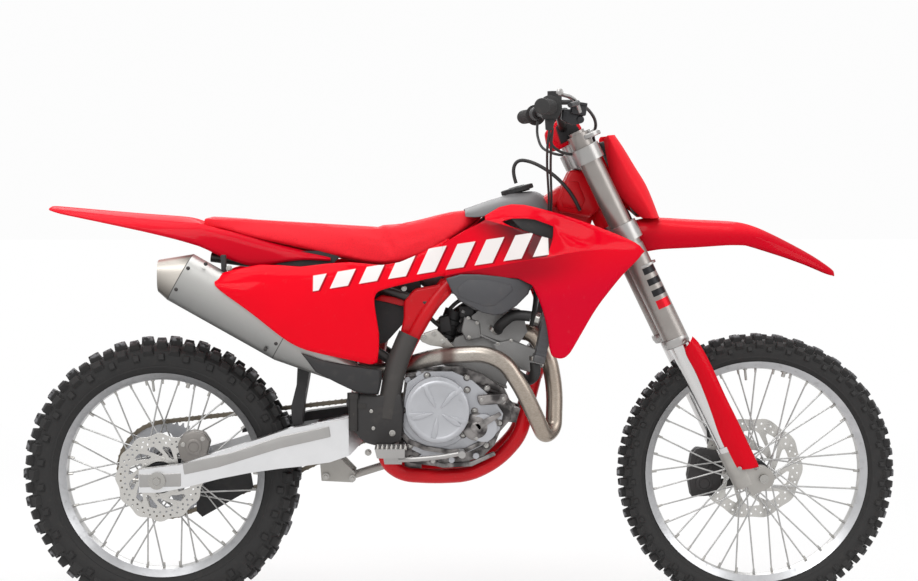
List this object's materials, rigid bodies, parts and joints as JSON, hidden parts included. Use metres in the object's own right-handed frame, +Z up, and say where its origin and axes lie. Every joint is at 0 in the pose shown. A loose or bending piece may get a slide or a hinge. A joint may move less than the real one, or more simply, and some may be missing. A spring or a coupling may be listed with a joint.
{
  "type": "motocross bike",
  "caption": "Red motocross bike with knobbly tyres, spoked wheels, long-travel fork, alloy swingarm and an angled silencer.",
  "frame": {"origin": "the rider's seat point on the top of the seat, in the mid-plane", "axes": "+X forward along the bike, +Y to its left, +Z up"},
  "size_m": [2.179, 0.8336, 1.2873],
  "materials": {
    "red_frame": "gloss",
    "black_plastic": "satin",
    "grey_plastic": "satin",
    "cast_case": "satin",
    "steel": "brushed",
    "aluminium": "satin",
    "dark_steel": "satin",
    "seat_cover": "matt",
    "soft_rubber": "matt",
    "red_plastic": "gloss",
    "chrome": "polished",
    "pad_cover": "matt",
    "tyre_rubber": "matt"
  },
  "bodies": {
    "frame": {"main_frame": "red_frame", "subframe": "black_plastic", "frame_guards": "grey_plastic", "engine_cases": "cast_case", "engine_covers": "cast_case", "cylinder": "cast_case", "exhaust_header": "steel", "silencer": "aluminium", "swingarm": "aluminium", "rear_axle": "steel", "chain": "dark_steel", "pinion": "dark_steel", "chain_guide": "black_plastic", "seat": "seat_cover", "fuel_tank": "grey_plastic", "fuel_cap": "black_plastic", "vent_hose": "soft_rubber", "radiators": "black_plastic", "shrouds": "red_plastic", "side_panels": "red_plastic", "rear_fender": "red_plastic", "mud_flap": "soft_rubber", "footpegs": "steel", "shock": "steel", "throttle_body": "black_plastic", "rear_caliper": "black_plastic", "airbox": "black_plastic", "linkage": "aluminium", "foot_controls": "aluminium", "radiator_hoses": "black_plastic", "rear_master": "dark_steel", "chain_slider": "black_plastic"},
    "steering": {"triple_clamps": "aluminium", "fork_tubes": "aluminium", "fork_legs": "chrome", "fork_guards": "red_plastic", "front_axle": "steel", "front_fender": "red_plastic", "number_plate": "red_plastic", "handlebar": "black_plastic", "bar_clamps": "aluminium", "grips": "soft_rubber", "right_controls": "black_plastic", "left_controls": "black_plastic", "bar_pad": "pad_cover", "brake_hose": "soft_rubber", "front_caliper": "grey_plastic", "control_cables": "black_plastic"},
    "front_wheel": {"front_tyre": "tyre_rubber", "front_rim": "aluminium", "front_hub": "black_plastic", "front_disc": "steel"},
    "rear_wheel": {"rear_tyre": "tyre_rubber", "rear_rim": "aluminium", "rear_hub": "black_plastic", "rear_disc": "steel", "rear_sprocket": "aluminium"}
  },
  "joints": [
    {"name": "steering_joint", "type": "hinge", "parent": "frame", "child": "steering", "pos_m": [0.5962, 0, 0.14435], "axis": [-0.4384, 0, 0.8988], "range_deg": [-42, 42]},
    {"name": "front_wheel_spin", "type": "hinge", "parent": "steering", "child": "front_wheel", "pos_m": [1.04099, 0, -0.61903], "axis": [0, 1, 0], "continuous": true},
    {"name": "rear_wheel_spin", "type": "hinge", "parent": "frame", "child": "rear_wheel", "pos_m": [-0.44401, 0, -0.62103], "axis": [0, 1, 0], "continuous": true}
  ]
}
